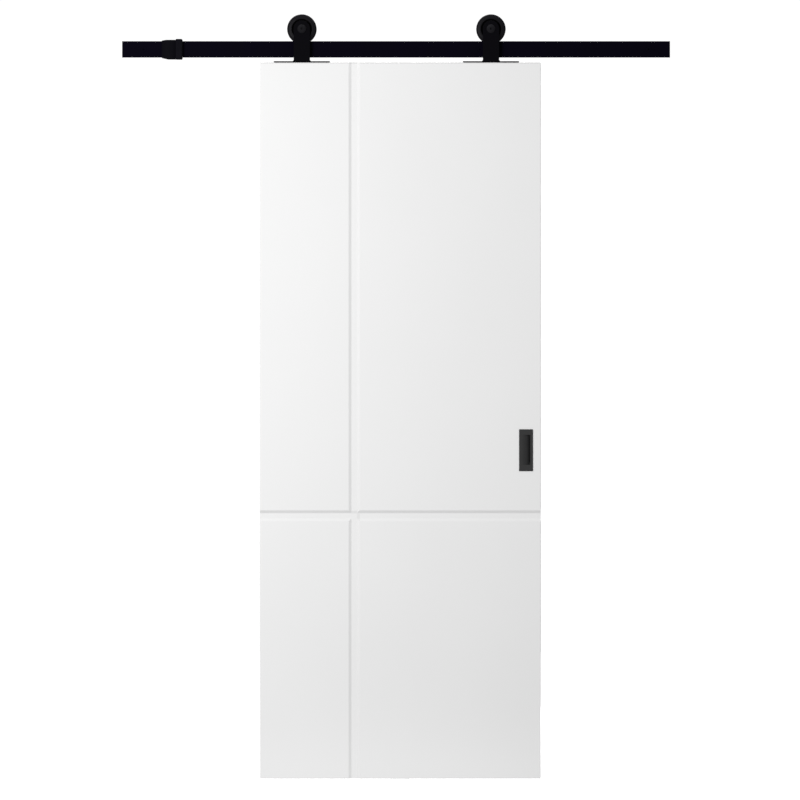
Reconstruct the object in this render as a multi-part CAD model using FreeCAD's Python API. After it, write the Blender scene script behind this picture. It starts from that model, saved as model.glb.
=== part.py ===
import FreeCAD, Part
import math
import os

# Sliding barn door set: a flat track on the wall, a grooved white leaf, two wheel
# hangers, an end stop at each end, a flush pull and a floor guide.
#
# Millimetres.  The wall is the plane y = 0 and the room is at -Y.  x = 0, z = 0 is the
# middle of the line of wall screws, on the wall.  X runs along the track, Z is up.

V = FreeCAD.Vector

# ---------------------------------------------------------------- driving dimensions
RAIL_LENGTH = 1562.0
RAIL_HEIGHT = 46.5
RAIL_THICKNESS = 6.0
SPACER_LENGTH = 35.0            # wall to the back of the rail
SPACER_RADIUS = 12.5
SCREW_PLACES = (-720.0, -240.0, 240.0, 720.0)
SCREW_RADIUS = 4.0
SCREW_HEAD_RADIUS = 8.0
SCREW_IN_WALL = 60.0
THREAD_RADIUS = 3.6             # lag thread, where the screw is in the wall

LEAF_LEFT = -388.0
LEAF_WIDTH = 800.0
LEAF_HEIGHT = 2040.0
LEAF_TOP = -38.3
LEAF_FRONT = -58.0
LEAF_BACK = -18.0
LEAF_CORNER = 4.0               # radius of the outline's corners
LEAF_EDGE = 2.0                 # radius along the edges of both faces
FRONT_SKIN = 12.0
BACK_SKIN = 6.0
STILE_WIDTH = 70.0
TOP_RAIL_HEIGHT = 70.0
BOTTOM_RAIL_HEIGHT = 90.0
FLUTE_WIDTH = 32.0              # the two flutes that divide the face
FLUTE_DEPTH = 3.5
FLUTE_SLOPE = 8.0               # width of each sloped wall
FLUTE_UPRIGHT_X = -119.1
FLUTE_LEVEL_Z = -1329.3
CELL_WIDTH = 60.0               # honeycomb cells of the core, across flats
CELL_WALL = 2.5
GUIDE_GROOVE_WIDTH = 10.0
GUIDE_GROOVE_DEPTH = 22.0

HANGER_PLACES = {"left": -268.5, "right": 270.5}
STRAP_WIDTH = 46.5
STRAP_THICKNESS = 6.0
STRAP_FRONT = -57.5
PLATE_LENGTH = 160.0
PLATE_THICKNESS = 3.5
PLATE_SCREWS = ((-65.0, 7.0), (-35.0, -4.0), (35.0, -4.0), (65.0, 7.0))
JUMP_PIN_Z = -28.8

TREAD_RADIUS = 34.0
FLANGE_RADIUS = 42.0
RIM_INNER = 28.5
RIM_CROWN = 16.0                # radius of the rim's rounded side
HUB_RADIUS = 18.0
WHEEL_WIDTH = 24.0
TREAD_GAP = 0.3                 # rail to tread, taken up by the tyre's flat
AXLE_RADIUS = 5.0

BEARING_WIDTH = 8.0
BEARING_OUTER = 13.0
BALL_PITCH = 9.0
BALL_RADIUS = 2.3
BALL_COUNT = 7
RACE_RADIUS = 2.5
SHOULDER_INNER = 7.4
SHOULDER_OUTER = 10.6

STOP_FACE = 609.0               # middle of the track to the face the left wheel meets
STOP_TOP = 26.5
STOP_BOTTOM = -28.5
STOP_LENGTH = 40.0              # of the sleeve, behind its bumper
BUMPER_LENGTH = 19.0
BUMPER_HALF_HEIGHT = 29.0

REAR_STOP_FACE = 603.7          # middle of the track to the pad the right wheel meets
REAR_PAD_LENGTH = 8.0
REAR_STOP_LENGTH = 40.0
REAR_STOP_THICKNESS = 10.0
REAR_STOP_TOP = 22.5            # just under the rail's top edge, so the front hides it
REAR_STOP_BOTTOM = -19.0
REAR_SCREW_RADIUS = 2.5
REAR_SCREW_PLACES = (12.0, 28.0)  # from the pad, along the block
REAR_SCREW_HEAD = 5.0
REAR_SCREW_HEAD_RADIUS = 4.25

PULL_X = 370.1
PULL_Z = -1142.8
PULL_WIDTH = 39.5
PULL_HEIGHT = 119.3
PULL_FLANGE = 2.0
PULL_CUP_HALF_WIDTH = 16.0
PULL_CUP_HALF_HEIGHT = 46.0
PULL_CUP_DEPTH = 10.0           # from the leaf's face to the back of the cup
SCOOP_DEPTH = 10.5              # from the pull's own face
SCOOP_HALF_HEIGHT = 42.6
SCOOP_Z = PULL_Z + 1.1

FLOOR_CLEARANCE = 6.0
GUIDE_X = 12.0
GUIDE_LENGTH = 52.0
GUIDE_FOOT = 3.0
GUIDE_HOLE_SPACING = 36.0

SLIP = 0.2                      # between fixed pieces that slide together once
SMOOTH = 0.02                   # between fixed round pieces

# ---------------------------------------------------------------- values worked out
RAIL_BACK = -SPACER_LENGTH
RAIL_FRONT = RAIL_BACK - RAIL_THICKNESS
RAIL_MIDDLE = (RAIL_BACK + RAIL_FRONT) / 2
RAIL_TOP = RAIL_HEIGHT / 2
AXLE_Z = RAIL_TOP + TREAD_GAP + TREAD_RADIUS
STRAP_BACK = STRAP_FRONT + STRAP_THICKNESS
PLATE_TOP = LEAF_TOP + PLATE_THICKNESS
LEAF_RIGHT = LEAF_LEFT + LEAF_WIDTH
LEAF_BOTTOM = LEAF_TOP - LEAF_HEIGHT
LEAF_MIDDLE = (LEAF_FRONT + LEAF_BACK) / 2
CORE_FRONT = LEAF_FRONT + FRONT_SKIN
CORE_BACK = LEAF_BACK - BACK_SKIN
BEARING_FRONT = RAIL_MIDDLE - BEARING_WIDTH / 2
BEARING_BACK = RAIL_MIDDLE + BEARING_WIDTH / 2
FLOOR = LEAF_BOTTOM - FLOOR_CLEARANCE
REAR_STOP_BACK = RAIL_BACK + REAR_STOP_THICKNESS
REAR_TAPPED_DEPTH = RAIL_THICKNESS - 1.2


# ---------------------------------------------------------------- shape helpers
def block(x0, x1, y0, y1, z0, z1):
    """A block between its lowest and highest corner."""
    return Part.makeBox(x1 - x0, y1 - y0, z1 - z0, V(x0, y0, z0))


def rod(radius, x, z, y0, y1):
    """A cylinder along Y, from y0 to y1."""
    return Part.makeCylinder(radius, y1 - y0, V(x, y0, z), V(0, 1, 0))


def tube(outer, inner, x, z, y0, y1):
    """A sleeve along Y, from y0 to y1."""
    return rod(outer, x, z, y0, y1).cut(rod(inner, x, z, y0 - 1, y1 + 1))


def prism(points, direction):
    """A closed outline of points, swept along a direction."""
    outline = Part.makePolygon([V(*point) for point in points + points[:1]])
    return Part.Face(outline).extrude(V(*direction))


def turned(edges, x, z):
    """A closed outline of edges in the plane z = 0, with X as the radius, turned
    about the Y axis and placed at x, z."""
    face = Part.Face(Part.Wire(edges))
    solid = face.revolve(V(0, 0, 0), V(0, 1, 0), 360)
    solid.translate(V(x, 0, z))
    return solid


def path(points):
    """Straight edges through (radius, y) points."""
    corners = [V(radius, y, 0) for radius, y in points]
    return [Part.LineSegment(a, b).toShape() for a, b in zip(corners, corners[1:])]


def arc(start, middle, end):
    """A circular edge through three (radius, y) points."""
    return Part.Arc(*[V(radius, y, 0) for radius, y in (start, middle, end)]).toShape()


def hex_prism(flats, x, z, y0, y1):
    """A hexagon bar along Y."""
    radius = flats / math.sqrt(3)
    corners = []
    for step in range(6):
        angle = math.radians(60 * step)
        corners.append((x + radius * math.cos(angle), y0, z + radius * math.sin(angle)))
    return prism(corners, (0, y1 - y0, 0))


def round_edges(shape, radius, wanted):
    """Fillet the edges that the test `wanted` accepts, given each edge's two ends."""
    edges = [edge for edge in shape.Edges
             if len(edge.Vertexes) == 2 and wanted(edge.Vertexes[0].Point, edge.Vertexes[1].Point)]
    return shape.makeFillet(radius, edges)


def runs_along(axis):
    """A test for edges parallel to one axis."""
    others = [i for i in range(3) if i != axis]
    return lambda a, b: all(abs(a[i] - b[i]) < 1e-6 for i in others)


def together(shapes):
    """Separate solids kept as one group."""
    return Part.makeCompound(shapes)


# ---------------------------------------------------------------- track on the wall
def rail():
    half = RAIL_LENGTH / 2
    bar = block(-half, half, RAIL_FRONT, RAIL_BACK, -RAIL_TOP, RAIL_TOP)
    bar = round_edges(bar, 1.0, runs_along(0))
    sink = SCREW_HEAD_RADIUS + SLIP
    hole = SCREW_RADIUS + SLIP
    for x in SCREW_PLACES:
        cone = Part.makeCone(sink, hole, sink - hole, V(x, RAIL_FRONT, 0), V(0, 1, 0))
        bar = bar.cut(cone).cut(rod(hole, x, 0, RAIL_FRONT - 1, RAIL_BACK + 1))
    for x in rear_screw_places():
        bar = bar.cut(rod(REAR_SCREW_RADIUS + SMOOTH, x, 0, RAIL_BACK - REAR_TAPPED_DEPTH, RAIL_BACK + 1))
    return bar


def wall_spacer(x):
    outer, inner, bevel = SPACER_RADIUS, SCREW_RADIUS + SLIP, 0.8
    outline = path([(inner, RAIL_BACK), (outer - bevel, RAIL_BACK), (outer, RAIL_BACK + bevel),
                    (outer, -bevel), (outer - bevel, 0), (inner, 0), (inner, RAIL_BACK)])
    return turned(outline, x, 0)


def wall_screw(x):
    """Countersunk lag screw: socket head, plain shank in the spacer, thread in the wall."""
    front = RAIL_FRONT + SLIP / 2
    neck = front + SCREW_HEAD_RADIUS - SCREW_RADIUS
    point = 8.0
    outline = path([(0, front), (SCREW_HEAD_RADIUS, front), (SCREW_RADIUS, neck), (SCREW_RADIUS, 0),
                    (THREAD_RADIUS, 0), (THREAD_RADIUS, SCREW_IN_WALL - point), (0, SCREW_IN_WALL),
                    (0, front)])
    socket = hex_prism(5.0, x, 0, front - 1, front + 2.8)
    return turned(outline, x, 0).cut(socket)


# ---------------------------------------------------------------- end stops
def stop_body():
    """Sleeve round the rail, drawn at the +X end.  Its front is slightly crowned along the
    rail, and its far end tapers at the top, the bottom and the front."""
    start, end = STOP_FACE + BUMPER_LENGTH, STOP_FACE + BUMPER_LENGTH + STOP_LENGTH
    front, back = RAIL_FRONT - 12.0, RAIL_BACK + 8.0
    tall = STOP_TOP - STOP_BOTTOM
    elevation = [(start, STOP_BOTTOM), (end - 18, STOP_BOTTOM), (end - 3, STOP_BOTTOM + 3.4),
                 (end, STOP_BOTTOM + 4.1), (end, STOP_TOP - 2.1), (end - 13, STOP_TOP), (start, STOP_TOP)]
    side = prism([(x, front, z) for x, z in elevation], (0, back - front, 0))
    outline = [(start, front + 1.5), (start + 17, front), (end, front + 7), (end, back - 3),
               (end - 10, back), (start, back)]
    corners = [V(x, y, STOP_BOTTOM) for x, y in outline]
    edges = [Part.Arc(*corners[:3]).toShape()]
    edges += [Part.LineSegment(a, b).toShape() for a, b in zip(corners[2:], corners[3:] + corners[:1])]
    plan = Part.Face(Part.Wire(edges)).extrude(V(0, 0, tall))
    opening = block(start - 1, end + 1, RAIL_FRONT - SLIP, RAIL_BACK + SLIP,
                    -RAIL_TOP - SLIP, RAIL_TOP + SLIP)
    body = round_edges(side.common(plan), 1.5, stop_long_edges).cut(opening)
    for x, y in stop_screw_places():
        body = body.cut(Part.makeCylinder(2.5 + SMOOTH, 8, V(x, y, STOP_BOTTOM - 1), V(0, 0, 1)))
    return body


def stop_long_edges(a, b):
    """A test for the sleeve's edges along the rail, on its full section."""
    along = abs(a.x - b.x) > 5 and abs(a.z - b.z) < 1e-6
    return along and (abs(a.z - STOP_TOP) < 1e-6 or abs(a.z - STOP_BOTTOM) < 1e-6)


def stop_screw_places():
    """Where the two grub screws come up through the sleeve's floor."""
    start = STOP_FACE + BUMPER_LENGTH
    return [(start + offset, RAIL_MIDDLE) for offset in (6.5, 17.0)]


def stop_screws():
    """M5 grub screws that bear on the rail's lower edge."""
    screws = []
    socket_radius = 2.5 / math.sqrt(3)
    for x, y in stop_screw_places():
        screw = Part.makeCylinder(2.5, -RAIL_TOP - STOP_BOTTOM, V(x, y, STOP_BOTTOM), V(0, 0, 1))
        corners = []
        for step in range(6):
            angle = math.radians(60 * step)
            corners.append((x + socket_radius * math.cos(angle), y + socket_radius * math.sin(angle),
                            STOP_BOTTOM - 1))
        screws.append(screw.cut(prism(corners, (0, 0, 3.2))))
    return together(screws)


def stop_bumper():
    """Rubber collar round the rail, taller and deeper than the sleeve it is bonded to."""
    end = STOP_FACE + BUMPER_LENGTH
    front, back = RAIL_FRONT - 14.5, RAIL_BACK + 9.5
    collar = block(STOP_FACE, end, front, back, -BUMPER_HALF_HEIGHT, BUMPER_HALF_HEIGHT)
    collar = round_edges(collar, 4.0, runs_along(0))
    for x, radius in ((STOP_FACE, 3.0), (end, 2.4)):
        collar = collar.makeFillet(radius, [edge for edge in collar.Edges
                                            if all(abs(v.X - x) < 1e-6 for v in edge.Vertexes)])
    gap = 2 * SLIP
    return collar.cut(block(STOP_FACE - 1, end + 1, RAIL_FRONT - gap, RAIL_BACK + gap,
                            -RAIL_TOP - gap, RAIL_TOP + gap))


def rear_screw_places():
    """Where the two screws go through the rear stop, along the rail."""
    start = REAR_STOP_FACE + REAR_PAD_LENGTH
    return [start + offset for offset in REAR_SCREW_PLACES]


def rear_stop_block():
    """Low steel block on the rail's back, in the way of the right wheel's rear flange."""
    start, bore = REAR_STOP_FACE + REAR_PAD_LENGTH, REAR_SCREW_HEAD_RADIUS + SLIP
    shape = block(start, start + REAR_STOP_LENGTH, RAIL_BACK, REAR_STOP_BACK,
                  REAR_STOP_BOTTOM, REAR_STOP_TOP)
    shape = round_edges(shape, 2.0, lambda a, b: runs_along(0)(a, b) and abs(a.y - REAR_STOP_BACK) < 1e-6)
    for x in rear_screw_places():
        shape = shape.cut(rod(REAR_SCREW_RADIUS + SLIP, x, 0, RAIL_BACK - 1, REAR_STOP_BACK + 1))
        shape = shape.cut(rod(bore, x, 0, REAR_STOP_BACK - REAR_SCREW_HEAD - SLIP, REAR_STOP_BACK + 1))
    return shape


def rear_stop_pad():
    """Rubber pad bonded to the rear stop's end, with a round top edge."""
    shape = block(REAR_STOP_FACE, REAR_STOP_FACE + REAR_PAD_LENGTH, RAIL_BACK + 0.5, REAR_STOP_BACK,
                  REAR_STOP_BOTTOM, REAR_STOP_TOP)
    return round_edges(shape, 2.0, lambda a, b: runs_along(1)(a, b) and abs(a.x - REAR_STOP_FACE) < 1e-6)


def rear_stop_screws():
    """M5 socket head screws into the rail's back; the rail's front stays whole."""
    screws = []
    seat, tip = REAR_STOP_BACK - REAR_SCREW_HEAD - SLIP, RAIL_BACK - REAR_TAPPED_DEPTH + 0.3
    for x in rear_screw_places():
        head = rod(REAR_SCREW_HEAD_RADIUS, x, 0, seat, REAR_STOP_BACK - SLIP)
        screw = head.fuse(rod(REAR_SCREW_RADIUS, x, 0, tip, seat)).removeSplitter()
        screws.append(screw.cut(hex_prism(4.0, x, 0, REAR_STOP_BACK - 3, REAR_STOP_BACK + 1)))
    return together(screws)


def mirrored(shape):
    return shape.mirror(V(0, 0, 0), V(1, 0, 0))


# ---------------------------------------------------------------- leaf
def leaf_outline():
    """The whole leaf as one rounded slab, which the layers and bars are cut from."""
    slab = block(LEAF_LEFT, LEAF_RIGHT, LEAF_FRONT, LEAF_BACK, LEAF_BOTTOM, LEAF_TOP)
    slab = round_edges(slab, LEAF_CORNER, runs_along(1))
    faces = [edge for edge in slab.Edges
             if all(abs(v.Y - LEAF_FRONT) < 1e-6 for v in edge.Vertexes)
             or all(abs(v.Y - LEAF_BACK) < 1e-6 for v in edge.Vertexes)]
    return slab.makeFillet(LEAF_EDGE, faces)


def flute_section(centre, along):
    """A flute's outline across its run, as (place across, y) corners from above the face."""
    half, floor, proud = FLUTE_WIDTH / 2, LEAF_FRONT + FLUTE_DEPTH, 1.0
    spread = half + proud * FLUTE_SLOPE / FLUTE_DEPTH
    corners = [(-spread, LEAF_FRONT - proud), (spread, LEAF_FRONT - proud),
               (half - FLUTE_SLOPE, floor), (FLUTE_SLOPE - half, floor)]
    return [along(centre + across, y) for across, y in corners]


def flutes():
    """The upright and the level flute, flat-bottomed with gently sloped walls."""
    past = 5.0
    top, left = LEAF_TOP + past, LEAF_LEFT - past
    upright = prism(flute_section(FLUTE_UPRIGHT_X, lambda across, y: (across, y, top)),
                    (0, 0, -LEAF_HEIGHT - 2 * past))
    level = prism(flute_section(FLUTE_LEVEL_Z, lambda across, y: (left, y, across)),
                  (LEAF_WIDTH + 2 * past, 0, 0))
    return upright.fuse(level)


def pull_pocket():
    """Mortise for the pull's cup, blind in the front skin."""
    wide, tall = PULL_CUP_HALF_WIDTH + 0.5, PULL_CUP_HALF_HEIGHT + 0.5
    return block(PULL_X - wide, PULL_X + wide, LEAF_FRONT - 1, LEAF_FRONT + PULL_CUP_DEPTH + 0.5,
                 PULL_Z - tall, PULL_Z + tall)


def guide_groove():
    """Groove along the leaf's bottom edge that rides over the floor guide."""
    half = GUIDE_GROOVE_WIDTH / 2
    return block(LEAF_LEFT - 1, LEAF_RIGHT + 1, LEAF_MIDDLE - half, LEAF_MIDDLE + half,
                 LEAF_BOTTOM - 1, LEAF_BOTTOM + GUIDE_GROOVE_DEPTH)


def hexagon(radius, x, y, z):
    """A closed hexagon in a plane of constant y, with two corners on its vertical axis."""
    angles = [math.radians(60 * step + 30) for step in range(6)]
    corners = [V(x + radius * math.cos(a), y, z + radius * math.sin(a)) for a in angles]
    return Part.makePolygon(corners + corners[:1])


def honeycomb(x0, x1, z0, z1):
    """Paper honeycomb that holds the skins apart: a solid rim round rows of open cells."""
    radius = CELL_WIDTH / math.sqrt(3)
    step_x = CELL_WIDTH + CELL_WALL
    step_z = step_x * math.sqrt(3) / 2
    rows = int((z1 - z0 - 2 * radius - 2 * CELL_WALL) / step_z) + 1
    columns = int((x1 - x0 - CELL_WIDTH - 2 * CELL_WALL) / step_x) + 1
    first_x = (x0 + x1 - (columns - 1) * step_x) / 2
    first_z = (z0 + z1 - (rows - 1) * step_z) / 2
    corners = [V(x0, CORE_FRONT, z0), V(x1, CORE_FRONT, z0), V(x1, CORE_FRONT, z1), V(x0, CORE_FRONT, z1)]
    wires = [Part.makePolygon(corners + corners[:1])]
    for row in range(rows):
        shifted = row % 2
        for column in range(columns - shifted):
            x = first_x + (column + shifted / 2) * step_x
            wires.append(hexagon(radius, x, CORE_FRONT, first_z + row * step_z))
    sheet = Part.makeFace(Part.makeCompound(wires), "Part::FaceMakerBullseye")
    return sheet.extrude(V(0, CORE_BACK - CORE_FRONT, 0))


def leaf_pieces():
    """Skins, stiles, rails and core, each cut out of the rounded slab."""
    slab = leaf_outline()
    screws = together([shape for side in HANGER_PLACES for shape in plate_screw_holes(side)])
    inner_left, inner_right = LEAF_LEFT + STILE_WIDTH, LEAF_RIGHT - STILE_WIDTH
    core_top, core_bottom = LEAF_TOP - TOP_RAIL_HEIGHT, LEAF_BOTTOM + BOTTOM_RAIL_HEIGHT

    def layer(x0, x1, y0, y1, z0, z1):
        return slab.common(block(x0, x1, y0, y1, z0, z1))

    def bar(x0, x1, z0, z1):
        return layer(x0, x1, CORE_FRONT, CORE_BACK, z0, z1).cut(screws)

    whole = (LEAF_LEFT, LEAF_RIGHT)
    tall = (LEAF_BOTTOM, LEAF_TOP)
    return {
        "leaf_front_skin": layer(*whole, LEAF_FRONT, CORE_FRONT, *tall).cut(flutes()).cut(pull_pocket()),
        "leaf_back_skin": layer(*whole, CORE_BACK, LEAF_BACK, *tall),
        "leaf_left_stile": bar(LEAF_LEFT, inner_left, *tall).cut(guide_groove()),
        "leaf_right_stile": bar(inner_right, LEAF_RIGHT, *tall).cut(guide_groove()),
        "leaf_top_rail": bar(inner_left, inner_right, core_top, LEAF_TOP),
        "leaf_bottom_rail": bar(inner_left, inner_right, LEAF_BOTTOM, core_bottom).cut(guide_groove()),
        "leaf_core": honeycomb(inner_left, inner_right, core_bottom, core_top),
    }


def flush_pull():
    """Flange and cup with a finger scoop in them."""
    flange = block(PULL_X - PULL_WIDTH / 2, PULL_X + PULL_WIDTH / 2, LEAF_FRONT - PULL_FLANGE, LEAF_FRONT,
                   PULL_Z - PULL_HEIGHT / 2, PULL_Z + PULL_HEIGHT / 2)
    flange = round_edges(flange, 1.5, runs_along(1))
    front_edges = [edge for edge in flange.Edges
                   if all(abs(v.Y - LEAF_FRONT + PULL_FLANGE) < 1e-6 for v in edge.Vertexes)]
    flange = flange.makeFillet(0.8, front_edges)
    cup = block(PULL_X - PULL_CUP_HALF_WIDTH, PULL_X + PULL_CUP_HALF_WIDTH, LEAF_FRONT,
                LEAF_FRONT + PULL_CUP_DEPTH, PULL_Z - PULL_CUP_HALF_HEIGHT, PULL_Z + PULL_CUP_HALF_HEIGHT)
    cup = round_edges(cup, 3.0, runs_along(1))
    return flange.fuse(cup).removeSplitter().cut(finger_scoop())


def finger_scoop():
    """One arc that falls away from the left, an undercut lip at the right, rounded ends."""
    face = LEAF_FRONT - PULL_FLANGE
    left, deep, right = PULL_X - 11.6, PULL_X + 12.0, PULL_X + 12.7
    under, floor, lip = PULL_X + 14.0, face + SCOOP_DEPTH, face + 3.6
    run, fall = deep - left, floor - face
    radius = (run ** 2 + fall ** 2) / (2 * fall)
    turn = math.asin(run / radius) / 2
    halfway = V(left + radius * math.sin(turn), face + radius * (1 - math.cos(turn)), 0)
    slope = Part.Arc(V(left, face, 0), halfway, V(deep, floor, 0)).toShape()
    proud = face - 2
    rest = [V(deep, floor, 0), V(under, floor, 0), V(under, lip, 0), V(right, lip - 1.5, 0),
            V(right, proud, 0), V(left, proud, 0), V(left, face, 0)]
    edges = [slope] + [Part.LineSegment(a, b).toShape() for a, b in zip(rest, rest[1:])]
    bottom, top = SCOOP_Z - SCOOP_HALF_HEIGHT, SCOOP_Z + SCOOP_HALF_HEIGHT
    swept = Part.Face(Part.Wire(edges)).extrude(V(0, 0, top - bottom))
    swept.translate(V(0, 0, bottom))
    ends = block(PULL_X - 20, PULL_X + 20, proud - 20, floor, bottom, top)
    ends = round_edges(ends, 9.0, lambda a, b: runs_along(0)(a, b) and abs(a.y - floor) < 1e-6)
    return swept.common(ends)


# ---------------------------------------------------------------- hangers
def plate_screw_holes(side):
    """Pilot holes in the leaf for one hanger's four screws."""
    x0 = HANGER_PLACES[side]
    return [Part.makeCylinder(2.5 + SMOOTH, 70, V(x0 + dx, LEAF_MIDDLE + dy, LEAF_TOP + 1), V(0, 0, -1))
            for dx, dy in PLATE_SCREWS]


def hanger_strap(x):
    """Flat strap with a round top about the axle."""
    half = STRAP_WIDTH / 2
    lower = block(x - half, x + half, STRAP_FRONT, STRAP_BACK, PLATE_TOP, AXLE_Z)
    strap = lower.fuse(rod(half, x, AXLE_Z, STRAP_FRONT, STRAP_BACK)).removeSplitter()
    faces = [edge for edge in strap.Edges
             if all(abs(v.Y - STRAP_FRONT) < 1e-6 for v in edge.Vertexes)
             and not all(abs(v.Z - PLATE_TOP) < 1e-6 for v in edge.Vertexes)]
    strap = strap.makeFillet(1.0, faces)
    strap = strap.cut(rod(AXLE_RADIUS + SLIP, x, AXLE_Z, STRAP_FRONT - 1, STRAP_BACK + 1))
    return strap.cut(rod(2.5 + SMOOTH, x, JUMP_PIN_Z, STRAP_FRONT + 1.5, STRAP_BACK + 1))


def hanger_top_plate(x):
    half = PLATE_LENGTH / 2
    plate = block(x - half, x + half, LEAF_FRONT, LEAF_BACK, LEAF_TOP, PLATE_TOP)
    plate = round_edges(plate, 5.0, runs_along(2))
    edges = [edge for edge in plate.Edges if all(abs(v.Z - PLATE_TOP) < 1e-6 for v in edge.Vertexes)]
    plate = plate.makeFillet(0.8, edges)
    head, hole = 5.0 + SLIP, 2.5 + SLIP
    for dx, dy in PLATE_SCREWS:
        top = V(x + dx, LEAF_MIDDLE + dy, PLATE_TOP)
        cone = Part.makeCone(head, hole, head - hole, top, V(0, 0, -1))
        drill = Part.makeCylinder(hole, PLATE_THICKNESS + 2, top + V(0, 0, 1), V(0, 0, -1))
        plate = plate.cut(cone).cut(drill)
    return plate


def hanger_welds(x):
    """Fillet welds at the strap's foot: one down each side and two along its back."""
    leg, half, z = 3.0, STRAP_WIDTH / 2, PLATE_TOP
    beads = []
    for sign in (-1, 1):
        edge = x + sign * half
        beads.append(prism([(edge, STRAP_FRONT + 1, z), (edge + sign * leg, STRAP_FRONT + 1, z),
                            (edge, STRAP_FRONT + 1, z + leg)], (0, STRAP_THICKNESS - 1, 0)))
        beads.append(prism([(x + sign * 8, STRAP_BACK, z), (x + sign * 8, STRAP_BACK + leg, z),
                            (x + sign * 8, STRAP_BACK, z + leg)], (sign * (half - 8), 0, 0)))
    return together(beads)


def top_plate_screws(x):
    """Countersunk wood screws down into the leaf's top."""
    screws = []
    length, top = 60.0, PLATE_TOP - 0.1
    for dx, dy in PLATE_SCREWS:
        place = V(x + dx, LEAF_MIDDLE + dy, top)
        head = Part.makeCone(5.0, 2.5, 2.5, place, V(0, 0, -1))
        shank = Part.makeCylinder(2.5, length - 6, place, V(0, 0, -1))
        tip = Part.makeCone(2.5, 0.3, 6, place - V(0, 0, length - 6), V(0, 0, -1))
        slots = block(place.x - 3, place.x + 3, place.y - 0.5, place.y + 0.5, top - 1.5, top + 1)
        cross = block(place.x - 0.5, place.x + 0.5, place.y - 3, place.y + 3, top - 1.5, top + 1)
        screws.append(head.fuse([shank, tip]).removeSplitter().cut(slots).cut(cross))
    return together(screws)


def axle_bolt(x):
    """M10 bolt with a wide domed socket head, the fixed axle of one wheel."""
    head_radius, head_height, flat, back = 12.5, 5.6, 4.2, -12.0
    front, edge = STRAP_FRONT - head_height, STRAP_FRONT - 1.0
    dome = (9.4, front + 1.6)
    edges = path([(0, front), (flat, front)])
    edges.append(arc((flat, front), dome, (head_radius, edge)))
    edges += path([(head_radius, edge), (head_radius, STRAP_FRONT), (AXLE_RADIUS, STRAP_FRONT),
                   (AXLE_RADIUS, back - 0.8), (AXLE_RADIUS - 0.8, back), (0, back), (0, front)])
    return turned(edges, x, AXLE_Z).cut(hex_prism(6.0, x, AXLE_Z, front - 1, front + 3.6))


def axle_bush(x, y0, y1):
    return tube(7.0, AXLE_RADIUS + SMOOTH, x, AXLE_Z, y0, y1)


def axle_nut(x):
    """Hex lock nut with a round collar behind it."""
    y0 = BEARING_BACK + 10.0
    bevel = Part.makeCone(8.6, 11.6, 3.0, V(x, y0, AXLE_Z), V(0, 1, 0))
    bevel = bevel.fuse(rod(11.6, x, AXLE_Z, y0 + 3, y0 + 7))
    nut = hex_prism(17.0, x, AXLE_Z, y0, y0 + 7).common(bevel)
    nut = nut.fuse(rod(7.2, x, AXLE_Z, y0 + 7, y0 + 10)).removeSplitter()
    return nut.cut(rod(AXLE_RADIUS + SMOOTH, x, AXLE_Z, y0 - 1, y0 + 11))


def jump_pin(x):
    """Stud screwed into the strap's back, with a head that keeps the sleeve on."""
    shank = rod(2.5, x, JUMP_PIN_Z, STRAP_FRONT + 2, RAIL_BACK + 1)
    return shank.fuse(rod(4.0, x, JUMP_PIN_Z, RAIL_BACK + 1, RAIL_BACK + 3)).removeSplitter()


def jump_sleeve(x):
    return tube(4.0, 2.5 + SMOOTH, x, JUMP_PIN_Z, STRAP_BACK, RAIL_BACK + 1)


# ---------------------------------------------------------------- wheels and bearings
def wheel_outline():
    """The wheel's section as edges in (radius, y) from its middle plane: rim with a crowned
    side and two flanges, thin web, and a hub with a seat for the bearing."""
    half, hub_half, web, bore = WHEEL_WIDTH / 2, 8.0, 4.0, BEARING_OUTER + SMOOTH
    rim, hub, flange, tread = RIM_INNER, HUB_RADIUS, FLANGE_RADIUS, TREAD_RADIUS
    shoulder, seat = SHOULDER_OUTER + 1.0, BEARING_WIDTH / 2
    flat = rim + 2.0

    def crown_point(radius, side):
        return radius, side * (half - RIM_CROWN + math.sqrt(RIM_CROWN ** 2 - (radius - flat) ** 2))

    edges = []
    for side in (-1, 1):
        hub_side = [(hub - 1, side * hub_half), (hub, side * (hub_half - 1)), (hub, side * (web + 1)),
                    (hub + 1, side * web), (rim - 1, side * web), (rim, side * (web + 1)),
                    (rim, side * (half - 1)), (rim + 1, side * half), (flat, side * half)]
        crest = [crown_point(flange, side), (flange, side * 6.6), (flange - 0.6, side * 6.0),
                 (tread, side * 4.0)]
        edges += path(hub_side)
        crown = [(flat, side * half), crown_point((flat + flange) / 2, side), crown_point(flange, side)]
        edges.append(arc(*crown))
        edges += path(crest)
    edges += path([(tread, -4.0), (tread, 4.0)])
    edges += path([(hub - 1, -hub_half), (bore, -hub_half), (bore, seat), (shoulder, seat),
                   (shoulder, hub_half), (hub - 1, hub_half)])
    return [edge for group in Part.sortEdges(edges) for edge in group]


def wheel(x):
    """Grooved roller that runs on the rail's top edge."""
    body = turned(wheel_outline(), x, AXLE_Z)
    body.translate(V(0, RAIL_MIDDLE, 0))
    groove = tube(BEARING_OUTER + 1.0, BEARING_OUTER - 1.0, x, AXLE_Z, BEARING_FRONT - 1.3, BEARING_FRONT)
    return body.cut(groove)


def circlip(x):
    """Spring ring in the hub's groove, with its gap at the top."""
    ring = tube(BEARING_OUTER + 0.9, BEARING_OUTER - 1.2, x, AXLE_Z, BEARING_FRONT - 1.2, BEARING_FRONT)
    return ring.cut(block(x - 3.5, x + 3.5, BEARING_FRONT - 2, BEARING_FRONT + 1, AXLE_Z + 5, AXLE_Z + 20))


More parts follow.
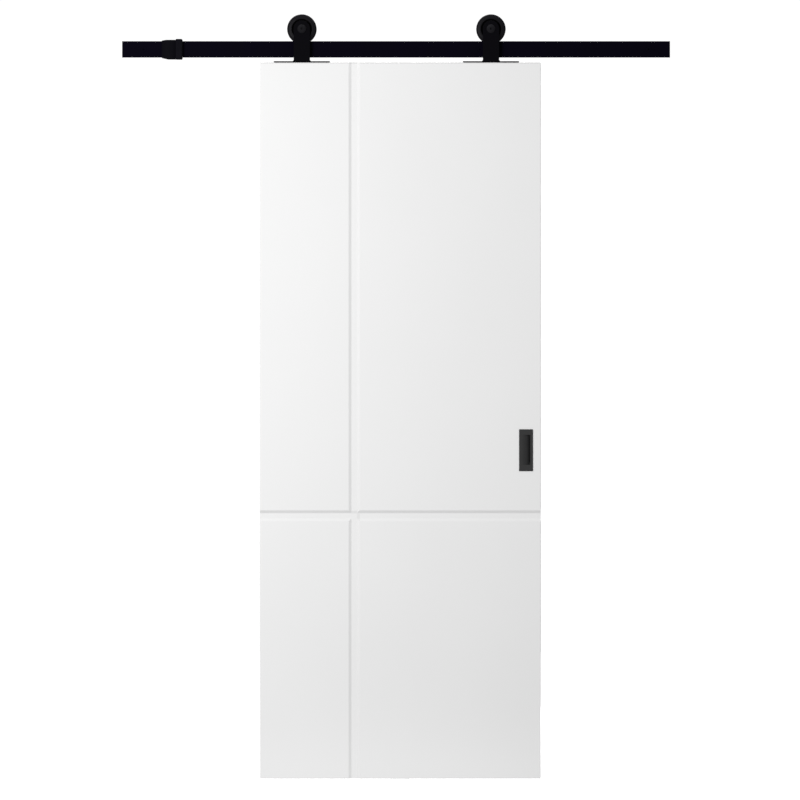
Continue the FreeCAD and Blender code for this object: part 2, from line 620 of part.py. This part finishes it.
def bearing_ring(inner, outer, x):
    """A plain ring with the ball race cut into it."""
    ring = tube(outer, inner, x, AXLE_Z, BEARING_FRONT, BEARING_BACK)
    return ring.cut(Part.makeTorus(BALL_PITCH, RACE_RADIUS, V(x, RAIL_MIDDLE, AXLE_Z), V(0, 1, 0)))


def ball_places(x):
    for step in range(BALL_COUNT):
        angle = 2 * math.pi * step / BALL_COUNT
        yield V(x + BALL_PITCH * math.cos(angle), RAIL_MIDDLE, AXLE_Z + BALL_PITCH * math.sin(angle))


def bearing_balls(x):
    return together([Part.makeSphere(BALL_RADIUS, place) for place in ball_places(x)])


def ball_cage(x):
    """Thin ring between the races, with a round pocket through it for each ball."""
    cage = tube(9.6, 8.4, x, AXLE_Z, RAIL_MIDDLE - 2.7, RAIL_MIDDLE + 2.7)
    centre = V(x, RAIL_MIDDLE, AXLE_Z)
    for place in ball_places(x):
        outward = (place - centre).normalize()
        cage = cage.cut(Part.makeCylinder(BALL_RADIUS + 0.1, 4, place - outward * 2, outward))
    return cage


def bearing_seals(x):
    """Two flat shields that turn with the outer ring."""
    inner, outer, reach, thick = SHOULDER_INNER + 0.3, SHOULDER_OUTER, 3.0, 0.8
    return together([tube(outer, inner, x, AXLE_Z, RAIL_MIDDLE + y0, RAIL_MIDDLE + y0 + thick)
                     for y0 in (-reach - thick, reach)])


# ---------------------------------------------------------------- floor guide
def floor_guide():
    """Inverted T: a foot with two countersunk holes and a fin that stands in the groove."""
    half, foot_half_depth, fin_half_length = GUIDE_LENGTH / 2, 14.0, 11.0
    foot_top = FLOOR + GUIDE_FOOT
    fin_half = GUIDE_GROOVE_WIDTH / 2 - 1.0
    fin_top = LEAF_BOTTOM + GUIDE_GROOVE_DEPTH - 6.0
    base = block(GUIDE_X - half, GUIDE_X + half, LEAF_MIDDLE - foot_half_depth,
                 LEAF_MIDDLE + foot_half_depth, FLOOR, foot_top)
    base = round_edges(base, 6.0, runs_along(2))
    fin = block(GUIDE_X - fin_half_length, GUIDE_X + fin_half_length, LEAF_MIDDLE - fin_half,
                LEAF_MIDDLE + fin_half, foot_top, fin_top)
    fin = round_edges(fin, 3.5, runs_along(2))
    guide = base.fuse(fin).removeSplitter()
    for sign in (-1, 1):
        top = V(GUIDE_X + sign * GUIDE_HOLE_SPACING / 2, LEAF_MIDDLE, foot_top)
        guide = guide.cut(Part.makeCylinder(2.25, GUIDE_FOOT + 2, top + V(0, 0, 1), V(0, 0, -1)))
        guide = guide.cut(Part.makeCone(4.25, 2.25, 2.0, top, V(0, 0, -1)))
    return guide


# ---------------------------------------------------------------- assembly
def hanger_pieces(side):
    x = HANGER_PLACES[side]
    pieces = {
        "hanger_strap": hanger_strap(x),
        "hanger_top_plate": hanger_top_plate(x),
        "hanger_welds": hanger_welds(x),
        "top_plate_screws": top_plate_screws(x),
        "axle_bolt": axle_bolt(x),
        "axle_front_bush": axle_bush(x, STRAP_BACK, BEARING_FRONT),
        "axle_rear_bush": axle_bush(x, BEARING_BACK, BEARING_BACK + 10),
        "axle_nut": axle_nut(x),
        "bearing_inner_ring": bearing_ring(AXLE_RADIUS + SMOOTH, SHOULDER_INNER, x),
        "jump_pin": jump_pin(x),
        "jump_sleeve": jump_sleeve(x),
        "wheel": wheel(x),
        "wheel_circlip": circlip(x),
        "bearing_outer_ring": bearing_ring(SHOULDER_OUTER, BEARING_OUTER, x),
        "bearing_seals": bearing_seals(x),
        "bearing_balls": bearing_balls(x),
        "ball_cage": ball_cage(x),
    }
    return {side + "_" + name: shape for name, shape in pieces.items()}


def all_pieces():
    pieces = {"rail": rail(), "wall_screws": together([wall_screw(x) for x in SCREW_PLACES])}
    for number, x in enumerate(SCREW_PLACES, start=1):
        pieces["wall_spacer_%d" % number] = wall_spacer(x)
    pieces["left_stop_body"] = mirrored(stop_body())
    pieces["left_stop_set_screws"] = mirrored(stop_screws())
    pieces["left_stop_bumper"] = mirrored(stop_bumper())
    pieces["right_stop_block"] = rear_stop_block()
    pieces["right_stop_pad"] = rear_stop_pad()
    pieces["right_stop_screws"] = rear_stop_screws()
    pieces.update(leaf_pieces())
    pieces["flush_pull"] = flush_pull()
    for side in HANGER_PLACES:
        pieces.update(hanger_pieces(side))
    pieces["floor_guide"] = floor_guide()
    return pieces


os.makedirs("parts", exist_ok=True)
for name, shape in all_pieces().items():
    if not shape.isValid():
        raise ValueError(name + " is not a valid shape")
    shape.exportStep(os.path.join("parts", name + ".step"))
    print("%-28s %2d solid(s) %12.0f mm3" % (name, len(shape.Solids), shape.Volume))
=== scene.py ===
import math

import bmesh
import bpy
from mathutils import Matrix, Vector


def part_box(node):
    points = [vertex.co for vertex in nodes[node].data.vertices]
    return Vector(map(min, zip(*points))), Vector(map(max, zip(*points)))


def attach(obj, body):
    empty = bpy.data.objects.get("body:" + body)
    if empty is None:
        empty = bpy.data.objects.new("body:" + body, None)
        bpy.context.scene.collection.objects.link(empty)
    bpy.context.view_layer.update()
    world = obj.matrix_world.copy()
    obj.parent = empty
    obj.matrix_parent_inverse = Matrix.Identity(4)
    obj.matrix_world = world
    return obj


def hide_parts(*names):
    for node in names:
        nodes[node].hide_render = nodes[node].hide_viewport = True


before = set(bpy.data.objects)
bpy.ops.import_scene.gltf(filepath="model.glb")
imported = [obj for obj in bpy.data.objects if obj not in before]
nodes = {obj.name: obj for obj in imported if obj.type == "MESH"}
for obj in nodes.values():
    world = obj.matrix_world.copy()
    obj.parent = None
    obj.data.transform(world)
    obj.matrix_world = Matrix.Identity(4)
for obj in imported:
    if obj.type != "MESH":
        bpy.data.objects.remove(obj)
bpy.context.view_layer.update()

# Looks for the sliding barn door set.  Metres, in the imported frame: the wall is y = 0, the
# room is at -Y, X runs along the track, Z is up.

MM = 0.001


def middle(node):
    low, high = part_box(node)
    return (low + high) / 2


LEFT_AXLE = middle("left_wheel")
RIGHT_AXLE = middle("right_wheel")
LEAF_LOW, LEAF_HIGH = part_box("leaf_front_skin")
FLOOR_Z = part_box("floor_guide")[0].z
FLUTE_X = -119.1 * MM           # middle of the upright flute
FLUTE_Z = -1329.3 * MM          # middle of the level flute
FLUTE_HALF = 16.0 * MM
FLUTE_FLOOR_HALF = 8.0 * MM

# ---------------------------------------------------------------- camera
LENS = 250.0
SENSOR = 36.0
FRAME_WIDTH = 2278.4 * MM       # width of the view at the leaf's face
VIEW_X = 11.2 * MM
VIEW_Z = -999.8 * MM


def add_camera():
    data = bpy.data.cameras.new("camera")
    data.lens = LENS
    data.sensor_width = SENSOR
    data.clip_end = 100
    camera = bpy.data.objects.new("camera", data)
    camera.location = (VIEW_X, LEAF_LOW.y - FRAME_WIDTH * LENS / SENSOR, VIEW_Z)
    camera.rotation_euler = (math.radians(90), 0, 0)
    bpy.context.scene.collection.objects.link(camera)
    bpy.context.scene.camera = camera


# ---------------------------------------------------------------- light and floor
def add_area(name, place, target, size, power):
    data = bpy.data.lights.new(name, "AREA")
    data.shape = "RECTANGLE"
    data.size, data.size_y = size
    data.energy = power
    lamp = bpy.data.objects.new(name, data)
    lamp.location = place
    lamp.rotation_mode = "QUATERNION"
    lamp.rotation_quaternion = (Vector(target) - Vector(place)).to_track_quat("-Z", "Y")
    bpy.context.scene.collection.objects.link(lamp)


def add_world():
    """White seen directly, and a dimmer even light on the object."""
    world = bpy.data.worlds.new("studio")
    world.use_nodes = True
    tree = world.node_tree
    tree.nodes.clear()
    out = tree.nodes.new("ShaderNodeOutputWorld")
    mix = tree.nodes.new("ShaderNodeMixShader")
    path = tree.nodes.new("ShaderNodeLightPath")
    seen = tree.nodes.new("ShaderNodeBackground")
    seen.inputs["Color"].default_value = (1, 1, 1, 1)
    seen.inputs["Strength"].default_value = 1.05
    lit = tree.nodes.new("ShaderNodeBackground")
    lit.inputs["Color"].default_value = (1, 1, 1, 1)
    lit.inputs["Strength"].default_value = 0.43
    tree.links.new(path.outputs["Is Camera Ray"], mix.inputs["Fac"])
    tree.links.new(lit.outputs["Background"], mix.inputs[1])
    tree.links.new(seen.outputs["Background"], mix.inputs[2])
    tree.links.new(mix.outputs["Shader"], out.inputs["Surface"])
    bpy.context.scene.world = world


def add_floor():
    """Plain floor as white as the background.  Only the camera sees it, it adds no light to the
    object, and it is clear when it is seen from below."""
    mesh = bpy.data.meshes.new("floor")
    half, front, back = 8.0, -8.0, 8.0
    mesh.from_pydata([(-half, front, FLOOR_Z), (half, front, FLOOR_Z), (half, back, FLOOR_Z),
                      (-half, back, FLOOR_Z)], [], [(0, 1, 2, 3)])
    floor = bpy.data.objects.new("floor", mesh)
    floor.visible_diffuse = False
    floor.visible_glossy = False
    floor.visible_shadow = False
    bpy.context.scene.collection.objects.link(floor)
    paint = Paint("floor_white", (0.8, 0.8, 0.8), 0.8, specular=0.0)
    paint.shader.inputs["Emission Color"].default_value = (1, 1, 1, 1)
    paint.shader.inputs["Emission Strength"].default_value = 1.0
    under = paint.tree.nodes.new("ShaderNodeNewGeometry").outputs["Backfacing"]
    paint.feed(paint.shader.inputs["Alpha"], paint.math("SUBTRACT", 1.0, under))
    mesh.materials.append(paint.material)


# ---------------------------------------------------------------- material tools
class Paint:
    """One Principled material and the few node patterns that its colour, gloss and relief use."""

    def __init__(self, name, colour, roughness, metallic=0.0, specular=0.5):
        self.material = bpy.data.materials.new(name)
        self.material.use_nodes = True
        self.tree = self.material.node_tree
        self.shader = self.tree.nodes["Principled BSDF"]
        self.shader.inputs["Base Color"].default_value = (*colour, 1)
        self.shader.inputs["Roughness"].default_value = roughness
        self.shader.inputs["Metallic"].default_value = metallic
        self.shader.inputs["Specular IOR Level"].default_value = specular
        self.material.diffuse_color = (*colour, 1)
        self.place = self.tree.nodes.new("ShaderNodeTexCoord").outputs["Object"]

    def node(self, kind, **inputs):
        made = self.tree.nodes.new(kind)
        for name, value in inputs.items():
            self.feed(made.inputs[name.replace("_", " ")], value)
        return made

    def feed(self, socket, value):
        if isinstance(value, bpy.types.NodeSocket):
            self.tree.links.new(value, socket)
        else:
            socket.default_value = value

    def math(self, operation, a, b=0.0):
        made = self.tree.nodes.new("ShaderNodeMath")
        made.operation = operation
        self.feed(made.inputs[0], a)
        self.feed(made.inputs[1], b)
        return made.outputs[0]

    def noise(self, size, detail=2.0, rough=0.5, stretch=(1, 1, 1)):
        """Noise whose features are about `size` metres across."""
        mapping = self.node("ShaderNodeMapping", Vector=self.place, Scale=stretch)
        made = self.node("ShaderNodeTexNoise", Vector=mapping.outputs[0], Scale=1 / size,
                         Detail=detail, Roughness=rough)
        return made.outputs["Fac"]

    def remap(self, value, low, high, from_low=0.3, from_high=0.7):
        made = self.node("ShaderNodeMapRange", Value=value)
        ends = {"From Min": from_low, "From Max": from_high, "To Min": low, "To Max": high}
        for name, number in ends.items():
            made.inputs[name].default_value = number
        return made.outputs[0]

    def band(self, value, low, high, edge=0.8 * MM):
        """1 between low and high, 0 outside, with soft edges."""
        rise = self.remap(value, 0, 1, low - edge, low + edge)
        fall = self.remap(value, 1, 0, high - edge, high + edge)
        return self.math("MULTIPLY", rise, fall)

    def blend(self, share, low, high):
        made = self.tree.nodes.new("ShaderNodeMix")
        made.data_type = "RGBA"
        self.feed(made.inputs[0], share)
        for socket, value in ((made.inputs[6], low), (made.inputs[7], high)):
            self.feed(socket, value if isinstance(value, bpy.types.NodeSocket) else (*value, 1))
        return made.outputs[2]

    def colour(self, value):
        self.tree.links.new(value, self.shader.inputs["Base Color"])

    def gloss(self, value):
        self.tree.links.new(value, self.shader.inputs["Roughness"])

    def relief(self, height, depth, strength=1.0):
        """Bump of `depth` metres, on top of any relief given before."""
        bump = self.node("ShaderNodeBump", Height=height, Strength=strength, Distance=depth)
        normal = self.shader.inputs["Normal"]
        if normal.links:
            self.tree.links.new(normal.links[0].from_socket, bump.inputs["Normal"])
        self.tree.links.new(bump.outputs["Normal"], normal)

    def axle_radius(self):
        """Distance from the nearer wheel's axle line."""
        split = self.node("ShaderNodeSeparateXYZ", Vector=self.place)
        centre = (LEFT_AXLE.x + RIGHT_AXLE.x) / 2
        reach = (RIGHT_AXLE.x - LEFT_AXLE.x) / 2
        offset = self.math("ABSOLUTE", self.math("SUBTRACT", split.outputs[0], centre))
        across = self.math("SUBTRACT", offset, reach)
        up = self.math("SUBTRACT", split.outputs[2], LEFT_AXLE.z)
        squares = self.math("ADD", self.math("MULTIPLY", across, across), self.math("MULTIPLY", up, up))
        return self.math("SQRT", squares)


# ---------------------------------------------------------------- materials
def powder_coat(name, colour, roughness, specular, grain=0.9 * MM):
    """Black powder coat: fine orange peel, cloudy gloss and slightly paler high spots."""
    paint = Paint(name, colour, roughness, specular=specular)
    peel = paint.noise(grain, 3.0, 0.55)
    cloud = paint.noise(60 * MM, 3.0)
    pale = tuple(c * 1.3 for c in colour)
    paint.colour(paint.blend(paint.remap(cloud, 0, 1), colour, pale))
    paint.gloss(paint.remap(cloud, roughness - 0.05, roughness + 0.05))
    paint.relief(peel, 0.05 * MM)
    return paint.material


def lacquer(name, colour):
    """White lacquer on board: roller stipple, very slight cloudiness, and painted shade: a greyer tone
    along the top edge and on the face's upper and right flute walls."""
    paint = Paint(name, colour, 0.5, specular=0.3)
    cloud = paint.noise(350 * MM, 3.0)
    stipple = paint.noise(1.6 * MM, 2.0)
    pale = tuple(min(1.0, c * 1.012) for c in colour)
    white = paint.blend(paint.remap(cloud, 0, 1), colour, pale)
    split = paint.node("ShaderNodeSeparateXYZ", Vector=paint.place)
    across, depth, height = split.outputs
    face = paint.remap(depth, 1, 0, LEAF_LOW.y + 4.5 * MM, LEAF_LOW.y + 5.5 * MM)
    # painted shade: the leaf is drawn darker within the top few millimetres, along its top edge
    top = paint.remap(height, 0, 1, LEAF_HIGH.z - 4.5 * MM, LEAF_HIGH.z - 2.0 * MM)
    # painted shade on the flute walls turned from the upper-left light: the right wall of the upright
    # flute and the upper wall of the level flute
    right_wall = paint.band(across, FLUTE_X + FLUTE_FLOOR_HALF, FLUTE_X + FLUTE_HALF)
    upper_wall = paint.band(height, FLUTE_Z + FLUTE_FLOOR_HALF - 1.5 * MM, FLUTE_Z + FLUTE_HALF - 2.0 * MM)
    right_wall_shade = paint.math("MULTIPLY", face, right_wall)
    upper_wall_shade = paint.math("MULTIPLY", face, upper_wall)
    # each share darkens the white by its factor, as painted shade
    for share, shade_factor in ((top, 0.86), (right_wall_shade, 0.935), (upper_wall_shade, 0.905)):
        white = paint.blend(share, white, tuple(c * shade_factor for c in colour))
    paint.colour(white)
    paint.gloss(paint.remap(paint.noise(40 * MM, 4.0), 0.45, 0.56))
    paint.relief(stipple, 0.04 * MM, 0.6)
    return paint.material


def turned(name, colour, roughness, pitch, web_radius, specular=0.5, depth=0.02 * MM):
    """Lathe-turned wheel: fine rings about the axle, a rougher moulded web inside its rim, painted darker
    as shade in its recess.
    """
    paint = Paint(name, colour, roughness, specular=specular)
    radius = paint.axle_radius()
    wobble = paint.math("MULTIPLY", paint.noise(8 * MM), pitch)
    angle = paint.math("MULTIPLY", paint.math("ADD", radius, wobble), 2 * math.pi / pitch)
    rings = paint.math("SINE", angle)
    rim = paint.remap(radius, 0, 1, web_radius, web_radius + 1.0 * MM)
    cloud = paint.noise(9 * MM, 3.0)
    pale = tuple(min(1.0, c * 1.3) for c in colour)
    # painted shade: inside the rim the web is drawn at 0.15 of the colour, standing for the shade in its
    # recess
    darker_tone = tuple(c * 0.15 for c in colour)
    paint.colour(paint.blend(rim, darker_tone, paint.blend(paint.remap(cloud, 0, 1), colour, pale)))
    ringed = paint.remap(rings, roughness - 0.05, roughness + 0.05, -1, 1)
    web = paint.math("MULTIPLY", paint.math("SUBTRACT", 1.0, rim), 0.8 - roughness)
    paint.gloss(paint.math("ADD", ringed, web))
    paint.relief(rings, depth, 0.6)
    return paint.material


def moulded(name, colour, roughness, grain, specular=0.5, depth=0.05 * MM, glow=0.0):
    """Moulded rubber or plastic with a matte spark-eroded grain.  `glow` is a small emission,
    which keeps a white part as pale as the floor round it."""
    paint = Paint(name, colour, roughness, specular=specular)
    paint.shader.inputs["Emission Color"].default_value = (*colour, 1)
    paint.shader.inputs["Emission Strength"].default_value = glow
    fine = paint.noise(grain, 3.0, 0.6)
    cloud = paint.noise(30 * MM, 3.0)
    pale = tuple(min(1.0, c * 1.2) for c in colour)
    paint.colour(paint.blend(paint.remap(cloud, 0, 1), colour, pale))
    paint.gloss(paint.remap(fine, roughness - 0.07, roughness + 0.07))
    paint.relief(fine, depth)
    return paint.material


def steel(name, colour, roughness, scratch=0.15 * MM):
    """Ground steel with fine scratches that run round it."""
    paint = Paint(name, colour, roughness, metallic=1.0)
    marks = paint.noise(scratch, 2.0, 0.5, (1, 0.05, 1))
    cloud = paint.noise(12 * MM, 3.0)
    darker_tone = tuple(c * 0.75 for c in colour)
    paint.colour(paint.blend(paint.remap(cloud, 0, 1), darker_tone, colour))
    paint.gloss(paint.remap(marks, roughness - 0.08, roughness + 0.1))
    paint.relief(marks, 0.01 * MM, 0.5)
    return paint.material


def card(name):
    """Brown kraft paper with flecks."""
    paint = Paint(name, (0.42, 0.30, 0.18), 0.85, specular=0.2)
    fleck = paint.noise(3 * MM, 4.0, 0.7)
    paint.colour(paint.blend(paint.remap(fleck, 0, 1), (0.34, 0.23, 0.13), (0.48, 0.36, 0.22)))
    paint.relief(fleck, 0.1 * MM)
    return paint.material


def make_materials():
    black = (0.0013, 0.0008, 0.0038)
    return {
        "rail_black": powder_coat("rail_black", black, 0.75, 0.028),
        "hanger_black": powder_coat("hanger_black", (0.0018, 0.0016, 0.0026), 0.7, 0.032),
        "stop_black": powder_coat("stop_black", (0.0016, 0.0014, 0.0028), 0.62, 0.035),
        "axle_black": powder_coat("axle_black", (0.0095, 0.0092, 0.0108), 0.7, 0.02, 0.3 * MM),
        "screw_black": powder_coat("screw_black", black, 0.75, 0.03, 0.3 * MM),
        "wheel_nylon": turned("wheel_nylon", (0.0062, 0.0058, 0.0072), 0.42, 0.8 * MM, 28.0 * MM, 0.05),
        "rubber_black": moulded("rubber_black", (0.0026, 0.0023, 0.0046), 0.75, 0.5 * MM, 0.06),
        "seal_rubber": moulded("seal_rubber", (0.01, 0.01, 0.01), 0.6, 0.3 * MM, 0.3),
        "bearing_steel": steel("bearing_steel", (0.45, 0.45, 0.46), 0.3),
        "ball_chrome": steel("ball_chrome", (0.6, 0.6, 0.61), 0.12),
        "bush_steel": steel("bush_steel", (0.32, 0.32, 0.33), 0.38),
        "leaf_white": lacquer("leaf_white", (0.8, 0.8, 0.8)),
        "leaf_edge_white": lacquer("leaf_edge_white", (0.79, 0.79, 0.79)),
        "core_card": card("core_card"),
        "pull_grey": powder_coat("pull_grey", (0.0230, 0.0230, 0.0235), 0.5, 0.25, 0.25 * MM),
        "guide_white": moulded("guide_white", (0.93, 0.93, 0.93), 0.5, 0.4 * MM, 0.3, glow=0.5),
    }


def dress_cad():
    made = make_materials()
    for piece in nodes.values():
        for slot in piece.material_slots:
            slot.material = made[slot.material.name.split(".")[0]]
    return made


# ---------------------------------------------------------------- pieces
def closed_shell(rings, first, last):
    """A closed surface through rings of equally many points, with one more point inside each end."""
    count = len(rings[0])
    points = [first] + [point for ring in rings for point in ring] + [last]
    faces = []
    for i in range(count):
        j = (i + 1) % count
        faces.append((0, 1 + j, 1 + i))
        for k in range(len(rings) - 1):
            a, b = 1 + k * count, 1 + (k + 1) * count
            faces.append((a + i, a + j, b + j, b + i))
        end = 1 + (len(rings) - 1) * count
        faces.append((end + i, end + j, len(points) - 1))
    return points, faces


def add_piece(name, shells, paint, body, replaced):
    """One object of closed shells, which stands for a CAD node and moves with a body."""
    points, faces = [], []
    for shell_points, shell_faces in shells:
        start = len(points)
        points += shell_points
        faces += [[start + i for i in face] for face in shell_faces]
    mesh = bpy.data.meshes.new(name)
    mesh.from_pydata(points, [], faces)
    shape = bmesh.new()
    shape.from_mesh(mesh)
    bmesh.ops.recalc_face_normals(shape, faces=shape.faces)
    shape.to_mesh(mesh)
    shape.free()
    mesh.polygons.foreach_set("use_smooth", [True] * len(mesh.polygons))
    mesh.set_sharp_from_angle(angle=math.radians(42))
    mesh.materials.append(paint)
    piece = bpy.data.objects.new(name, mesh)
    bpy.context.scene.collection.objects.link(piece)
    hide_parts(replaced)
    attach(piece, body)


def lag_screw(x):
    """Countersunk lag screw along Y: hex socket, plain shank, and a coarse thread in the wall.
    The outline's sizes are radii in millimetres."""
    angles = [2 * math.pi * step / 48 for step in range(48)]
    low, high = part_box("wall_screws")
    front, tip = low.y, high.y
    core, crest, pitch, taper_length = 2.6 * MM, 3.6 * MM, 2.8 * MM, 8.0 * MM

    def socket(angle):
        return 2.5 * MM / math.cos(angle % (math.pi / 3) - math.pi / 6)

    def ring(y, radius):
        return [(x + radius(a) * math.cos(a), y, radius(a) * math.sin(a)) for a in angles]

    def thread(y):
        taper = min(1.0, (tip - y) / taper_length)
        fade = min(1.0, max(0.0, y - 0.5 * MM) / pitch)

        def radius(angle):
            turn = (angle / (2 * math.pi) - y / pitch) % 1.0
            ridge = max(0.0, 1.0 - abs(turn - 0.5) / 0.24)
            return taper * (core + (crest - core) * ridge * fade)
        return radius

    rings = [ring(front + 2.8 * MM, socket), ring(front, socket)]
    neck = front + 4.0 * MM
    outline = ((front, 7.7), (front + 0.2 * MM, 7.75), (neck, 4.0), (-0.4 * MM, 4.0), (0.0, 3.6))
    for y, size in outline:
        rings.append(ring(y, lambda angle, size=size: size * MM))
    steps = 200
    for step in range(1, steps):
        y = tip * step / steps
        rings.append(ring(y, thread(y)))
    return closed_shell(rings, (x, front + 3.4 * MM, 0.0), (x, tip, 0.0))


def weld_bead(start, end, out):
    """Fillet weld along a corner at the foot of an upright face, with crescent ripples."""
    size, ripple, fan, up = 2.85 * MM, 1.3 * MM, 10, Vector((0, 0, 1))
    run = end - start
    length = run.length
    count = int(length / (0.2 * MM))
    rings = []
    for step in range(count + 1):
        along = length * step / count
        swell = min(1.0, 0.6 + 0.4 * min(along, length - along) / (1.0 * MM))
        corner = start + run * (step / count)
        ring = [corner]
        for turn in (math.pi / 2 * i / fan for i in range(fan + 1)):
            wave = math.sin(2 * math.pi * along / ripple + 2.4 * math.sin(2 * turn))
            radius = size * swell * (1 - 0.16 * math.sin(2 * turn)) * (0.955 + 0.045 * wave)
            ring.append(corner + radius * (math.cos(turn) * out + math.sin(turn) * up))
        rings.append(ring)
    middles = [sum(ring, Vector()) / len(ring) for ring in (rings[0], rings[-1])]
    return closed_shell(rings, *middles)


def strap_welds(side):
    """Beads down both sides of a strap's foot, and two short ones along its back."""
    low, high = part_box(side + "_hanger_strap")
    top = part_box(side + "_hanger_top_plate")[1].z
    centre, beads = (low.x + high.x) / 2, []
    for edge, sign in ((low.x, -1), (high.x, 1)):
        foot = Vector((edge, high.y, top))
        beads.append(weld_bead(Vector((edge, low.y + 1.0 * MM, top)), foot, Vector((sign, 0, 0))))
        beads.append(weld_bead(Vector((centre + sign * 8 * MM, high.y, top)), foot, Vector((0, 1, 0))))
    return beads


def add_pieces(made):
    for number in (1, 2, 3, 4):
        x = middle("wall_spacer_%d" % number).x
        add_piece("lag_screw_%d" % number, [lag_screw(x)], made["screw_black"], "track", "wall_screws")
    for side in ("left", "right"):
        replaced = side + "_hanger_welds"
        add_piece(side + "_weld_beads", strap_welds(side), made["hanger_black"], "leaf", replaced)


# ---------------------------------------------------------------- scene
bpy.context.scene.view_settings.view_transform = "Standard"
for name in ("Cube", "Light", "Camera"):
    if name in bpy.data.objects:
        bpy.data.objects.remove(bpy.data.objects[name])
for old in list(bpy.data.materials):
    old.name = old.name.split(".")[0] + ".cad"
add_camera()
add_world()
add_floor()
add_area("key", (-2.0, -3.5, -0.12), (0, 0, -1.0), (1.6, 2.7), 129)
add_area("top", (0, 0.03, 0.9), (0, -0.03, 0), (1.8, 0.14), 10)
add_area("back", (1.4, 3.4, -0.5), (0, 0, -1.0), (1.6, 2.7), 60)
add_area("skirt", (VIEW_X, -0.22, FLOOR_Z + 0.015), (VIEW_X, 0, FLOOR_Z + 0.04), (0.9, 0.03), 0.07)
add_pieces(dress_cad())
